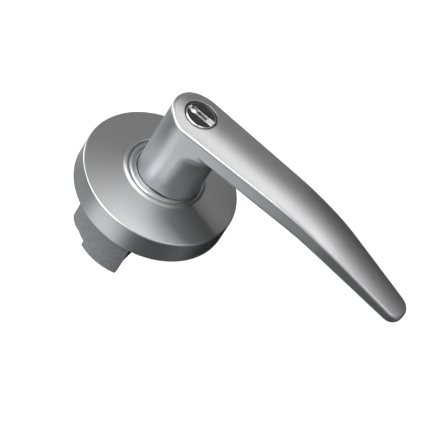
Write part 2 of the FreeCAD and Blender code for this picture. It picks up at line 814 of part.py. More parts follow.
def halfOutline(sketch):
    """Half of the lever's outline: a line from the head, a wide arc at the waist and a line to the tip."""
    radius, waist, bend, length = values("head_radius", "waist_place", "waist_bend", "lever_length")
    near, far = [math.radians(angle) for angle in values("taper_near", "taper_far")]
    reach = bend * math.tan((far - near) / 2)
    width = radius / math.cos(near) - waist * math.tan(near)
    first = Vector(-radius * math.sin(near), radius * math.cos(near), 0)
    enter = Vector(-waist + reach * math.cos(near), width + reach * math.sin(near), 0)
    leave = Vector(-waist - reach * math.cos(far), width - reach * math.sin(far), 0)
    centre = enter + Vector(bend * math.sin(near), -bend * math.cos(near), 0)
    last = Vector(-length, width - (length - waist) * math.tan(far), 0)
    arc = Part.Circle(centre, Vector(0, 0, 1), bend)
    sketch.addGeometry(Part.LineSegment(first, enter), False)
    sketch.addGeometry(Part.ArcOfCircle(arc, math.pi / 2 + near, math.pi / 2 + far), False)
    sketch.addGeometry(Part.LineSegment(leave, last), False)
    sketch.addGeometry(Part.LineSegment(last, Vector(-length, 0, 0)), False)
    sketch.addGeometry(Part.LineSegment(Vector(-length, 0, 0), Vector(0, 0, 0)), False)
    sketch.addGeometry(Part.LineSegment(Vector(0, 0, 0), first), False)
    for one, end, other, begin in ((0, 2, 1, 1), (1, 2, 2, 1), (2, 2, 3, 1), (3, 2, 4, 1), (4, 2, 5, 1),
                                   (5, 2, 0, 1)):
        sketch.addConstraint(Sketcher.Constraint("Coincident", one, end, other, begin))
    a = "taper_near * 1 deg"
    b = "taper_far * 1 deg"
    w = f"(head_radius / cos({a}) - waist_place * tan({a}))"
    t = f"waist_bend * tan(({b} - {a}) / 2)"
    place(sketch, 0, 1, f"-head_radius * sin({a})", f"head_radius * cos({a})")
    place(sketch, 0, 2, f"{t} * cos({a}) - waist_place", f"{w} + {t} * sin({a})")
    place(sketch, 1, 3, f"{t} * cos({a}) - waist_place + waist_bend * sin({a})",
          f"{w} + {t} * sin({a}) - waist_bend * cos({a})")
    place(sketch, 1, 2, f"-waist_place - {t} * cos({b})", None)
    place(sketch, 2, 2, "-lever_length", f"{w} - (lever_length - waist_place) * tan({b})")
    place(sketch, 3, 2, "-lever_length", "0")
    place(sketch, 4, 2, "0", "0")


def bordered(body, radius, side):
    """Round the border of the faces that look along +Y (side 1) or -Y (side -1)."""
    doc.recompute()
    base = body.Tip
    shape = base.Shape
    facing = [face for face in shape.Faces if looks(face) * side > 0.8]
    border = []
    for i, edge in enumerate(shape.Edges, start=1):
        touching = [face for face in facing if any(edge.isSame(other) for other in face.Edges)]
        if len(touching) == 1:
            border.append(f"Edge{i}")
    fillet = body.newObject("PartDesign::Fillet", body.Name + "_border")
    fillet.Base = (base, border)
    fillet.setExpression("Radius", bound(radius))


def looks(face):
    """How far the middle of a face looks along +Y."""
    first, last, low, high = face.ParameterRange
    return face.normalAt((first + last) / 2, (low + high) / 2).y


def upright(edge):
    """A straight edge along the lock's axis."""
    if not isinstance(edge.Curve, Part.Line):
        return False
    return abs(edge.tangentAt(edge.FirstParameter).y) > 0.999


def close(sketch, far, low, near):
    """Close a bent line with three straight lines on its door side."""
    for _ in range(3):
        sketch.addGeometry(Part.LineSegment(Vector(0, 50, 0), Vector(5, 60, 0)), False)
    sketch.addConstraint(Sketcher.Constraint("Coincident", 2, 2, 3, 1))
    sketch.addConstraint(Sketcher.Constraint("Coincident", 3, 2, 4, 1))
    sketch.addConstraint(Sketcher.Constraint("Coincident", 4, 2, 5, 1))
    sketch.addConstraint(Sketcher.Constraint("Coincident", 5, 2, 0, 1))
    place(sketch, 3, 2, f"-({far})", low)
    place(sketch, 4, 2, near, low)


def crownSection(sketch):
    """The space over a round-topped section: an arc with straight sides and top."""
    crest, bow, half = values("lever_crest", "crown_radius", "head_radius")
    reach = half + sizes["crown_overhang"]
    cover = sizes["crown_cover"]
    rise = math.sqrt(bow * bow - reach * reach)
    swing = math.asin(reach / bow)
    centre = Vector(bow - crest, 0, 0)
    arc = Part.ArcOfCircle(Part.Circle(centre, Vector(0, 0, 1), bow), math.pi - swing, math.pi + swing)
    sketch.addGeometry(arc, False)
    left = Vector(centre.x - rise, -reach, 0)
    right = Vector(centre.x - rise, reach, 0)
    sketch.addGeometry(Part.LineSegment(left, left - Vector(cover, 0, 0)), False)
    sketch.addGeometry(Part.LineSegment(left - Vector(cover, 0, 0), right - Vector(cover, 0, 0)), False)
    sketch.addGeometry(Part.LineSegment(right - Vector(cover, 0, 0), right), False)
    sketch.addConstraint(Sketcher.Constraint("Coincident", 0, 2, 1, 1))
    sketch.addConstraint(Sketcher.Constraint("Coincident", 1, 2, 2, 1))
    sketch.addConstraint(Sketcher.Constraint("Coincident", 2, 2, 3, 1))
    sketch.addConstraint(Sketcher.Constraint("Coincident", 3, 2, 0, 1))
    wide = "head_radius + crown_overhang"
    level = f"crown_radius - lever_crest - sqrt(crown_radius * crown_radius - ({wide}) * ({wide}))"
    place(sketch, 0, 3, "crown_radius - lever_crest", "0")
    place(sketch, 0, 1, level, wide)
    place(sketch, 0, 2, None, f"-({wide})")
    place(sketch, 1, 2, f"{level} - crown_cover", f"-({wide})")
    place(sketch, 2, 2, f"{level} - crown_cover", wide)


def neck(body):
    """The oval neck, flared into the lever, its round journal, the bores and the dogs."""
    straight = newSketch(body, "XZ_Plane", "neck_foot")
    neckSection(straight, "neck_stretch")
    feature(body, "Pad", straight, Length="lever_back - neck_blend - neck_foot")
    sections = []
    for rise, stretch in ((0, 0), (0.15, 0), (0.6, 0.22), (1, 1)):
        section = newSketch(body, "XZ_Plane", f"lever_back - {1 - rise} * neck_blend")
        neckSection(section, f"neck_stretch + {stretch} * neck_blend")
        sections.append(section)
    loft = body.newObject("PartDesign::AdditiveLoft", "lever_neck")
    loft.Profile = sections[0]
    loft.Sections = sections[1:]
    doc.recompute()
    top = newSketch(body, "XZ_Plane", "lever_back")
    neckSection(top, "neck_stretch + neck_blend")
    feature(body, "Pad", top, Length="neck_root")
    journal = newSketch(body, "XZ_Plane", "neck_foot")
    circle(journal, "0", "0", "neck_radius")
    feature(body, "Pad", journal, Length="neck_foot - journal_end", Reversed=True)
    slotted = "neck_radius * sin(dog_half_angle * 1 deg)"
    dogs = newSketch(body, "XZ_Plane", "journal_end")
    for sign in ("", "-"):
        polygon(dogs, [
            (f"{sign}dog_inner", slotted),
            (f"{sign}neck_radius * cos(dog_half_angle * 1 deg)", slotted),
            (f"{sign}neck_radius", "0"),
            (f"{sign}neck_radius * cos(dog_half_angle * 1 deg)", f"-{slotted}"),
            (f"{sign}dog_inner", f"-{slotted}"),
        ])
    feature(body, "Pad", dogs, Length="journal_end - dog_end", Reversed=True)
    bores = newSketch(body, "XY_Plane")
    shoulder = "plug_front - plug_flange_thickness - running_gap"
    polygon(bores, [
        ("0", "cut_over - dog_end"),
        ("spindle_radius + running_gap", "cut_over - dog_end"),
        ("spindle_radius + running_gap", "-spindle_front - catch_gap"),
        ("shell_radius + shell_gap", "-spindle_front - catch_gap"),
        ("shell_radius + shell_gap", f"-({shoulder})"),
        ("face_bore", f"-({shoulder})"),
        ("face_bore", "-lever_crest - cut_over"),
        ("0", "-lever_crest - cut_over"),
    ])
    feature(body, "Groove", bores, ReferenceAxis=(bores, ["V_Axis"]), Angle=360.0)
    tower = newSketch(body, "XZ_Plane", shoulder)
    polygon(tower, [
        ("0", "tower_width / 2 + shell_gap"),
        ("-shell_tower - shell_gap", "tower_width / 2 + shell_gap"),
        ("-shell_tower - shell_gap", "-tower_width / 2 - shell_gap"),
        ("0", "-tower_width / 2 - shell_gap"),
    ])
    feature(body, "Pocket", tower, Length="lever_crest")
    release = newSketch(body, "XY_Plane")
    circle(release, "0", "-catch_height", "catch_radius + catch_gap")
    feature(body, "Pocket", release, Length="head_radius * 2")


def leverCatch():
    body = newBody("lever_catch")
    pin = newSketch(body, "XY_Plane", "-catch_reach")
    circle(pin, "0", "-catch_height", "catch_radius")
    feature(body, "Pad", pin, Length="catch_reach - catch_base - catch_plate / 2")
    base = newSketch(body, "XY_Plane", "-catch_base - catch_plate")
    polygon(base, [
        ("-catch_half", "-catch_height - catch_half"),
        ("catch_half", "-catch_height - catch_half"),
        ("catch_half", "-catch_height + catch_half"),
        ("-catch_half", "-catch_height + catch_half"),
    ])
    feature(body, "Pad", base, Length="catch_plate")


def catchSpring():
    outer = "spindle_radius - spindle_wall - running_gap"
    openRing("catch_spring", f"{outer} - leaf_thickness", outer, "-catch_height - catch_half",
             "-catch_height + catch_half", "catch_half + 2 * running_gap")


def cylinderShell():
    body = newBody("cylinder_shell")
    shoulder = "plug_front - plug_flange_thickness - running_gap"
    outside = newSketch(body, "XZ_Plane", "shell_rear")
    circle(outside, "0", "0", "shell_radius")
    feature(body, "Pad", outside, Length=f"{shoulder} - shell_rear")
    tower = newSketch(body, "XZ_Plane", "shell_rear")
    polygon(tower, [
        ("-plug_radius - cover_lip", "tower_width / 2"),
        ("-shell_tower", "tower_width / 2"),
        ("-shell_tower", "-tower_width / 2"),
        ("-plug_radius - cover_lip", "-tower_width / 2"),
    ])
    feature(body, "Pad", tower, Length=f"{shoulder} - shell_rear")
    bore = newSketch(body, "XZ_Plane", "shell_rear")
    circle(bore, "0", "0", "plug_radius + running_gap")
    feature(body, "Pocket", bore, Length="plug_front * 2", Midplane=True)
    slot = newSketch(body, "XZ_Plane", "pin_first + pin_pitch / 2")
    polygon(slot, [
        ("-shell_tower + cover_thickness", "pin_radius + pin_gap + cover_lip"),
        ("-shell_tower - cut_over", "pin_radius + pin_gap + cover_lip"),
        ("-shell_tower - cut_over", "-pin_radius - pin_gap - cover_lip"),
        ("-shell_tower + cover_thickness", "-pin_radius - pin_gap - cover_lip"),
    ])
    feature(body, "Pocket", slot, Length="pin_count * pin_pitch")
    chambers = newSketch(body, "YZ_Plane", "0")
    for index in range(sizes["pin_count"]):
        circle(chambers, f"-(pin_first - {index} * pin_pitch)", "0", "pin_radius + pin_gap")
    feature(body, "Pocket", chambers, Length="shell_tower + cut_over")


def plugBody():
    body = revolved("plug", [
        ("0", "-plug_front"),
        ("plug_flange", "-plug_front"),
        ("plug_flange", "plug_flange_thickness - plug_front"),
        ("plug_radius", "plug_flange_thickness - plug_front"),
        ("plug_radius", "-shell_rear"),
        ("plug_radius - clip_depth", "-shell_rear"),
        ("plug_radius - clip_depth", "clip_thickness + 2 * running_gap - shell_rear"),
        ("plug_radius", "clip_thickness + 2 * running_gap - shell_rear"),
        ("plug_radius", "-plug_rear"),
        ("0", "-plug_rear"),
    ])
    keyway = newSketch(body, "XZ_Plane", "plug_front")
    polygon(keyway, [
        ("-keyway_half", "keyway_width / 2"),
        ("keyway_half", "keyway_width / 2"),
        ("keyway_half", "-keyway_width / 2"),
        ("-keyway_half", "-keyway_width / 2"),
    ])
    feature(body, "Pocket", keyway, Length="plug_flange_thickness")
    blade = newSketch(body, "XZ_Plane", "plug_front - plug_flange_thickness")
    polygon(blade, [
        ("-blade_half", "keyway_width / 2"),
        ("blade_half", "keyway_width / 2"),
        ("blade_half", "-keyway_width / 2"),
        ("-blade_half", "-keyway_width / 2"),
    ])
    feature(body, "Pocket", blade, Length="plug_front - plug_flange_thickness - shell_rear - blade_stop")
    bulb = newSketch(body, "XZ_Plane", "plug_front")
    circle(bulb, "bulb_place", "0", "keyway_bulb")
    feature(body, "Pocket", bulb, Length="plug_flange_thickness / 2")
    chambers = newSketch(body, "YZ_Plane", "0")
    for index in range(sizes["pin_count"]):
        circle(chambers, f"-(pin_first - {index} * pin_pitch)", "0", "pin_radius + pin_gap")
    feature(body, "Pocket", chambers, Length="plug_radius + cut_over")
    tail = newSketch(body, "XZ_Plane", "plug_rear")
    polygon(tail, [
        ("-tail_thickness / 2 - running_gap", "tail_width / 2 + running_gap"),
        ("tail_thickness / 2 + running_gap", "tail_width / 2 + running_gap"),
        ("tail_thickness / 2 + running_gap", "-tail_width / 2 - running_gap"),
        ("-tail_thickness / 2 - running_gap", "-tail_width / 2 - running_gap"),
    ])
    feature(body, "Pocket", tail, Length="tail_seat", Reversed=True)


def pinStack(name, inner, outer, radius, hole=None):
    """One pin, or spring, per chamber between two distances from the axis."""
    body = newBody(name)
    row = newSketch(body, "YZ_Plane", f"-({outer})")
    for index in range(sizes["pin_count"]):
        circle(row, f"-(pin_first - {index} * pin_pitch)", "0", radius)
        if hole:
            circle(row, f"-(pin_first - {index} * pin_pitch)", "0", hole)
    feature(body, "Pad", row, Length=f"({outer}) - ({inner})")


def pins():
    top = "sqrt((plug_radius - shear_gap) * (plug_radius - shear_gap) - pin_radius * pin_radius)"
    pinStack("key_pins", "key_pin_end", top, "pin_radius")
    rest = "plug_radius + 2 * running_gap"
    pinStack("driver_pins", rest, f"{rest} + driver_pin", "pin_radius")
    pinStack("pin_springs", f"{rest} + driver_pin", "shell_tower - cover_thickness", "pin_coil",
             "pin_coil_bore")
    body = newBody("chamber_cover")
    cover = newSketch(body, "XZ_Plane", "pin_first + pin_pitch / 2 - running_gap")
    polygon(cover, [
        ("-shell_tower + cover_thickness", "pin_radius + pin_gap + cover_lip"),
        ("-shell_tower", "pin_radius + pin_gap + cover_lip"),
        ("-shell_tower", "-pin_radius - pin_gap - cover_lip"),
        ("-shell_tower + cover_thickness", "-pin_radius - pin_gap - cover_lip"),
    ])
    feature(body, "Pad", cover, Length="pin_count * pin_pitch - 2 * running_gap", Reversed=True)


def tailpiece():
    body = newBody("tailpiece")
    blade = newSketch(body, "XZ_Plane", "plug_rear + tail_seat - 2 * running_gap")
    polygon(blade, [
        ("-tail_thickness / 2", "tail_width / 2"),
        ("tail_thickness / 2", "tail_width / 2"),
        ("tail_thickness / 2", "-tail_width / 2"),
        ("-tail_thickness / 2", "-tail_width / 2"),
    ])
    feature(body, "Pad", blade, Length="plug_rear + tail_seat - 2 * running_gap + tail_rear", Reversed=True)


roseCover()
neckCollar()
neckBushing()
mountingPlate()
springCage()
cageRivets()
stopPin()
returnSpring()
hubBearing()
thrustWasher()
mountingPosts()
chassisHousing()
guidePlate()
endPlate()
retractor()
retractorSprings()
rollbackCam()
spindleSleeve()
springDriver()
clips()
lever()
leverCatch()
catchSpring()
cylinderShell()
plugBody()
pins()
tailpiece()

doc.recompute()

faults = []
for item in doc.Objects:
    if "Invalid" in item.State or "Error" in item.State:
        faults.append(f"{item.Name}: {item.State}")
for item in fitted:
    if item.Shape.isNull() or not item.Shape.isValid():
        faults.append(f"{item.Label}: shape is empty or not valid")
if faults:
    raise RuntimeError("; ".join(faults))

for item in fitted:
    item.Shape.exportStep(f"parts/{item.Label}.step")
    print(item.Label, len(item.Shape.Solids), "solid(s)", round(item.Shape.Volume, 1))
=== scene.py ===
import json

import bmesh
import bpy
import numpy as np
from mathutils import Matrix


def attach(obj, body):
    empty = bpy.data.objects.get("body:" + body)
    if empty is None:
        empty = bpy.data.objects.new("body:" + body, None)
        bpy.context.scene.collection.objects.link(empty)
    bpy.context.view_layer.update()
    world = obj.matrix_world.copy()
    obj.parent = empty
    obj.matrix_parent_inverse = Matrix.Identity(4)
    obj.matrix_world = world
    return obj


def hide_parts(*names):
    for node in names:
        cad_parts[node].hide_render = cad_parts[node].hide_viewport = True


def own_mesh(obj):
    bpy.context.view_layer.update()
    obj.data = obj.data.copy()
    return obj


# Outer half of a keyed lever lock. Metres, -Y out to the hand, +Y into the door, +Z up, lever along -X.
# The dictionaries hold mm and degrees where no other unit is named.

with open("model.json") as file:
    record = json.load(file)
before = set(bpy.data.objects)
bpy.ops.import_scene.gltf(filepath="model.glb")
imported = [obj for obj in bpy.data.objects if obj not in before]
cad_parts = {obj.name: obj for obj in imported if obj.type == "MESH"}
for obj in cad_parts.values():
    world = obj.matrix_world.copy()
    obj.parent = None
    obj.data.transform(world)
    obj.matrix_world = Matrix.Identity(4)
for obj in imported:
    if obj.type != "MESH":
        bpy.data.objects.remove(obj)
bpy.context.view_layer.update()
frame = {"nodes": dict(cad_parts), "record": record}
scene = bpy.context.scene
nodes = frame["nodes"]
bodies = frame["record"]["behaviour"]["bodies"]
slots = {part["node"]: part["material_slot"] for part in frame["record"]["subparts"]}
print("frame loaded:", len(nodes), "nodes")

mm = 0.001
mergeWithin = 0.0005  # mm, points closer than this are made one


# The matrix that sets a camera or a lamp at its place. Its columns are the thing's right, its up and the way
# back from what it looks at; up is square to the other two.
def facing(right, back, place):
    matrix = np.eye(4)
    matrix[:3, :3] = np.column_stack([right, np.cross(back, right), back])
    matrix[:3, 3] = place
    return Matrix(matrix.tolist())


cameraSizes = {
    "place": (-84.28, -485.73, 449.30),       # where the lens is
    "right": (-0.75961, -0.40130, -0.51182),  # the way of the picture's right side
    "back": (-0.08342, -0.72033, 0.68859),    # the way from the object to the lens
    "lens": 121.79,
    "sensor": 36.0,
    "clip": (0.01, 20.0),                     # m
}


def makeCamera(values):
    data = bpy.data.cameras.new("camera")
    data.lens = values["lens"]
    data.sensor_width = values["sensor"]
    data.clip_start, data.clip_end = values["clip"]
    camera = bpy.data.objects.new("camera", data)
    right = np.array(values["right"])
    right /= np.linalg.norm(right)
    back = np.array(values["back"])
    back -= back @ right * right
    back /= np.linalg.norm(back)
    camera.matrix_world = facing(right, back, np.array(values["place"]) * mm)
    scene.collection.objects.link(camera)
    scene.camera = camera


makeCamera(cameraSizes)
print("camera placed")


def nodeTree(name):
    material = bpy.data.materials.new(name)
    material.use_nodes = True
    tree = material.node_tree
    return material, tree, tree.nodes["Principled BSDF"]


# a new shader node with its settings and the constant values of its sockets
def add(tree, kind, inputs=None, **settings):
    node = tree.nodes.new(kind)
    for key, value in settings.items():
        setattr(node, key, value)
    for key, value in (inputs or {}).items():
        node.inputs[key].default_value = value
    return node


# a noise texture on the piece's own coordinates
def noise(tree, coords, scale, detail):
    node = add(tree, "ShaderNodeTexNoise", {"Scale": scale, "Detail": detail})
    tree.links.new(coords, node.inputs["Vector"])
    return node.outputs["Fac"]


# maps a value from start..stop to low..high
def spread(tree, source, low, high, start=0.3, stop=0.7):
    node = add(tree, "ShaderNodeMapRange",
               {"From Min": start, "From Max": stop, "To Min": low, "To Max": high})
    tree.links.new(source, node.inputs["Value"])
    return node.outputs["Result"]


# The colour wanders a little with a broad noise and the roughness with a finer one, which also lifts the
# surface as grain.
def metal(name, values):
    material, tree, shader = nodeTree(name)
    coords = add(tree, "ShaderNodeTexCoord").outputs["Object"]
    colour, shade = np.array(values["colour"]), values["shade"]
    blend = add(tree, "ShaderNodeMix", data_type="RGBA")
    blend.inputs["A"].default_value = (*(colour * (1 - shade)), 1)
    blend.inputs["B"].default_value = (*np.minimum(colour * (1 + shade), 1), 1)
    broad = noise(tree, coords, values["patch"], noiseDetail["patch"])
    tree.links.new(spread(tree, broad, 0, 1), blend.inputs["Factor"])
    tree.links.new(blend.outputs["Result"], shader.inputs["Base Color"])
    fine = noise(tree, coords, values["grain"], noiseDetail["grain"])
    rough, wander = values["rough"], values["wander"]
    tree.links.new(spread(tree, fine, rough - wander, rough + wander), shader.inputs["Roughness"])
    bump = add(tree, "ShaderNodeBump", {"Strength": values["lift"], "Distance": values["depth"] * mm})
    tree.links.new(fine, bump.inputs["Height"])
    tree.links.new(bump.outputs["Normal"], shader.inputs["Normal"])
    shader.inputs["Metallic"].default_value = values["metallic"]
    return material


noiseDetail = {"patch": 4.0, "grain": 5.0}
# patch and grain are the scales of the two noises, shade and wander say how far colour and roughness go, and
# lift and depth are the strength and height of the grain
finishes = {
    "satinChrome": {"colour": (0.562, 0.577, 0.603), "shade": 0.02, "patch": 60, "grain": 2600,
                    "rough": 0.43, "wander": 0.03, "lift": 0.12, "depth": 0.02, "metallic": 1.0},
    "castHousing": {"colour": (0.235, 0.25, 0.27), "shade": 0.10, "patch": 500, "grain": 1500,
                    "rough": 0.62, "wander": 0.06, "lift": 0.35, "depth": 0.06, "metallic": 0.35},
    "zincPlate": {"colour": (0.50, 0.51, 0.53), "shade": 0.05, "patch": 130, "grain": 900,
                  "rough": 0.38, "wander": 0.05, "lift": 0.15, "depth": 0.02, "metallic": 1.0},
    "steel": {"colour": (0.40, 0.40, 0.41), "shade": 0.04, "patch": 200, "grain": 1400,
              "rough": 0.34, "wander": 0.05, "lift": 0.15, "depth": 0.02, "metallic": 1.0},
    "springSteel": {"colour": (0.36, 0.35, 0.35), "shade": 0.05, "patch": 300, "grain": 1600,
                    "rough": 0.30, "wander": 0.05, "lift": 0.1, "depth": 0.01, "metallic": 1.0},
    "brass": {"colour": (0.62, 0.47, 0.22), "shade": 0.05, "patch": 200, "grain": 1200,
              "rough": 0.32, "wander": 0.05, "lift": 0.12, "depth": 0.02, "metallic": 1.0},
    # the shell's brass painted near black: painted shade of the gap round the plug
    "shadedShellBrass": {"colour": (0.10, 0.09, 0.075), "shade": 0.10, "patch": 200, "grain": 1200,
                   "rough": 0.5, "wander": 0.05, "lift": 0.12, "depth": 0.02, "metallic": 1.0},
    "brightNickel": {"colour": (0.86, 0.86, 0.86), "shade": 0.03, "patch": 400, "grain": 2400,
                     "rough": 0.30, "wander": 0.04, "lift": 0.1, "depth": 0.01, "metallic": 1.0},
    "plugNickel": {"colour": (0.40, 0.405, 0.415), "shade": 0.04, "patch": 300, "grain": 2200,
                   "rough": 0.30, "wander": 0.04, "lift": 0.12, "depth": 0.01, "metallic": 1.0},
    "plugDark": {"colour": (0.022, 0.025, 0.028), "shade": 0.25, "patch": 900, "grain": 2600,
                 "rough": 0.42, "wander": 0.06, "lift": 0.3, "depth": 0.02, "metallic": 0.2},
    "blackNylon": {"colour": (0.025, 0.026, 0.028), "shade": 0.15, "patch": 300, "grain": 1500,
                   "rough": 0.5, "wander": 0.05, "lift": 0.2, "depth": 0.02, "metallic": 0.0},
}
materials = {name: metal(name, values) for name, values in finishes.items()}
slotFinish = {
    "satin_chrome": "satinChrome", "cast_housing": "castHousing", "zinc_plate": "zincPlate",
    "steel": "steel", "spring_steel": "springSteel", "brass": "brass", "nickel_brass": "plugNickel",
    "black_nylon": "blackNylon",
}
for name, node in nodes.items():
    for place in node.material_slots:
        # the cylinder's shell is painted near black all over, as painted shade in the gap where it shows
        # round the plug
        finish = "shadedShellBrass" if name == "cylinder_shell" else slotFinish[place.material.name]
        place.material = materials[finish]
print("materials on the packed nodes")


# The functions below give a shape as its points in mm and a list of arrays of faces. All the faces of one
# array have the same number of corners, which are the numbers of the points.

# one mesh of one or more closed shapes, with their faces turned outwards; edges that turn by more than the
# sharp angle stay crisp
def meshOf(name, shapes, sharp=None):
    points, faces, shift = [], [], 0
    for own, groups in shapes:
        points.append(own)
        for group in groups:
            faces += (group + shift).tolist()
        shift += len(own)
    mesh = bpy.data.meshes.new(name)
    mesh.from_pydata(np.concatenate(points) * mm, [], faces)
    work = bmesh.new()
    work.from_mesh(mesh)
    bmesh.ops.remove_doubles(work, verts=work.verts, dist=mergeWithin * mm)
    bmesh.ops.recalc_face_normals(work, faces=work.faces)
    work.to_mesh(mesh)
    work.free()
    mesh.shade_smooth()
    if sharp:
        mesh.set_sharp_from_angle(angle=np.radians(sharp))
    return mesh


# the angles of a full round, without the first one again at the end
def fullRound(steps):
    return np.linspace(0, 2 * np.pi, steps, endpoint=False)


# the quads of a grid whose rows close on themselves; when wrapped, the last row also meets the first
def ringFaces(rows, around, wrapped=False):
    row, col = np.meshgrid(np.arange(rows if wrapped else rows - 1), np.arange(around), indexing="ij")
    below = (row + 1) % rows
    after = (col + 1) % around
    return np.stack([row * around + col, row * around + after,
                     below * around + after, below * around + col], -1).reshape(-1, 4)


# A wire carried along a path. Each point of its ring is path + wire * (cos a * side + sin a * lift), where
# lift is the outward way made square to the path's direction and side is square to both.
def tube(path, outward, wire, around):
    along = np.gradient(path, axis=0)
    along /= np.linalg.norm(along, axis=1, keepdims=True)
    lift = outward - (outward * along).sum(1, keepdims=True) * along
    lift /= np.linalg.norm(lift, axis=1, keepdims=True)
    side = np.cross(along, lift)
    angle = fullRound(around)
    ring = (path[:, None, :] + wire * (np.cos(angle)[None, :, None] * side[:, None, :]
                                       + np.sin(angle)[None, :, None] * lift[:, None, :]))
    first = np.arange(around)[None, :]
    last = first + (len(path) - 1) * around
    return ring.reshape(-1, 3), [ringFaces(len(path), around)[:, ::-1], first, last[:, ::-1]]


# The surface that a closed profile of radii r and depths y sweeps once round the y axis: at each angle a of
# the turn, x is r cos a and z is r sin a.
def revolved(profile, around):
    turn = fullRound(around)
    x = profile[:, :1] * np.cos(turn)
    z = profile[:, :1] * np.sin(turn)
    y = np.repeat(profile[:, 1:], around, axis=1)
    return np.stack([x, y, z], -1).reshape(-1, 3), [ringFaces(len(profile), around, wrapped=True)]


# A closed prism on an outline in x and z, from one depth to another. The front may slope: its depth is
# front + slope * z, so that a flat top can look a little up.
def prism(outline, front, back, slope=0.0):
    outline = np.asarray(outline, float)
    count = len(outline)
    fore = np.column_stack([outline[:, 0], front + slope * outline[:, 1], outline[:, 1]])
    rear = np.column_stack([outline[:, 0], np.full(count, back), outline[:, 1]])
    here = np.arange(count)
    after = (here + 1) % count
    sides = np.column_stack([here, here + count, after + count, after])
    return np.concatenate([fore, rear]), [here[None, :], here[None, ::-1] + count, sides]


def rectangle(left, right, low, high):
    return [(left, low), (right, low), (right, high), (left, high)]


# the outline of a round hole or post: its middle plus radius times the cosine and sine of each angle
def disc(x, z, radius, steps):
    turn = fullRound(steps)
    return np.column_stack([x + radius * np.cos(turn), z + radius * np.sin(turn)])


# A low dome on a round foot: the rise is height * (1 - (r / radius)^2).
def dome(x, z, radius, front, height, rings=7, around=40):
    share = np.linspace(1, 0, rings, endpoint=False)
    turn = fullRound(around)
    across = x + radius * share[:, None] * np.cos(turn)
    up = z + radius * share[:, None] * np.sin(turn)
    depth = np.repeat((front - height * (1 - share ** 2))[:, None], around, axis=1)
    rows = np.stack([across, depth, up], -1).reshape(-1, 3)
    points = np.concatenate([rows, [(x, front - height, z)]])
    foot = np.arange(around)
    last = (rings - 1) * around + foot
    fan = np.column_stack([last, np.roll(last, -1), np.full(around, len(rows))])
    return points, [ringFaces(rings, around), fan, foot[None, ::-1]]


# points on part of an ellipse, its angle counted from the radius' way towards the hand
def arc(centre, half, start, stop, steps):
    angle = np.radians(np.linspace(start, stop, steps))
    return np.column_stack([centre[0] + half[0] * np.cos(angle), centre[1] - half[1] * np.sin(angle)])


# puts a mesh in the scene as a piece that moves with a body and, where named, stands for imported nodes
def piece(name, mesh, finish, body, slot, *stoodFor):
    made = bpy.data.objects.new(name, mesh)
    scene.collection.objects.link(made)
    if not mesh.materials:
        mesh.materials.append(materials[finish])
    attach(made, body)
    if stoodFor:
        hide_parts(*stoodFor)
    return made


# rounds those edges of a piece that turn by more than a given angle
def breakEdges(made, width, segments=2, above=35):
    bevel = made.modifiers.new("edges", "BEVEL")
    bevel.width = width * mm
    bevel.segments = segments
    bevel.limit_method = "ANGLE"
    bevel.angle_limit = np.radians(above)
    bevel.harden_normals = True


# A coil along x at a depth and a height. Its angle grows evenly; its place along x stands still over the
# closed turns at both ends, and grows evenly between.
def coilAlongX(values, depth, height):
    turns, closed = values["turns"], values["closed"]
    angle = np.linspace(0, 2 * np.pi * turns, int(turns * values["steps"]) + 1)
    share = np.clip((angle / (2 * np.pi) - closed) / (turns - 2 * closed), 0, 1)
    x = values["from"] + (values["to"] - values["from"]) * share
    outward = values["coil"] * np.column_stack([np.zeros(len(x)), np.cos(angle), np.sin(angle)])
    path = outward + np.column_stack([x, np.full(len(x), depth), np.full(len(x), height)])
    return tube(path, outward, values["wire"], values["around"])


# coil is the radius of the wire's middle; keep is the share of its length that a coil has when fully pressed
retractorSpring = {"coil": 0.92, "wire": 0.26, "turns": 5.5, "closed": 0.9, "steps": 26, "around": 10,
                   "from": -17.1, "to": -4.28, "depth": 16.8, "height": 14.55, "seat": -17.4, "keep": 0.2145}


def makeRetractorSprings(values):
    coils = [coilAlongX(values, values["depth"], side * values["height"]) for side in (1, -1)]
    made = piece("retractorCoils", meshOf("retractorCoils", coils), "springSteel",
                 "mount", "spring_steel", "retractor_springs")
    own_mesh(made)


makeRetractorSprings(retractorSpring)

pinSpring = {"coil": 1.08, "wire": 0.16, "turns": 6, "closed": 0.8, "steps": 20, "around": 8,
             "from": -11.03, "to": -8.82, "first": -50.5, "pitch": 4.6, "count": 5}


def makePinSprings(values):
    coils = [coilAlongX(values, values["first"] + number * values["pitch"], 0)
             for number in range(values["count"])]
    piece("pinCoils", meshOf("pinCoils", coils), "springSteel", "handle", "spring_steel", "pin_springs")


makePinSprings(pinSpring)

# leg is how far each leg stands beside the middle; sweep is the angle that the bend takes from the coil
returnSpring = {"coil": 20.5, "wire": 0.6, "turns": 2, "low": -6.05, "high": -8.35, "leg": 1.75,
                "end": -26.9, "bend": -22.6, "sweep": 9.0, "coilSteps": 260, "legSteps": 12, "around": 12}


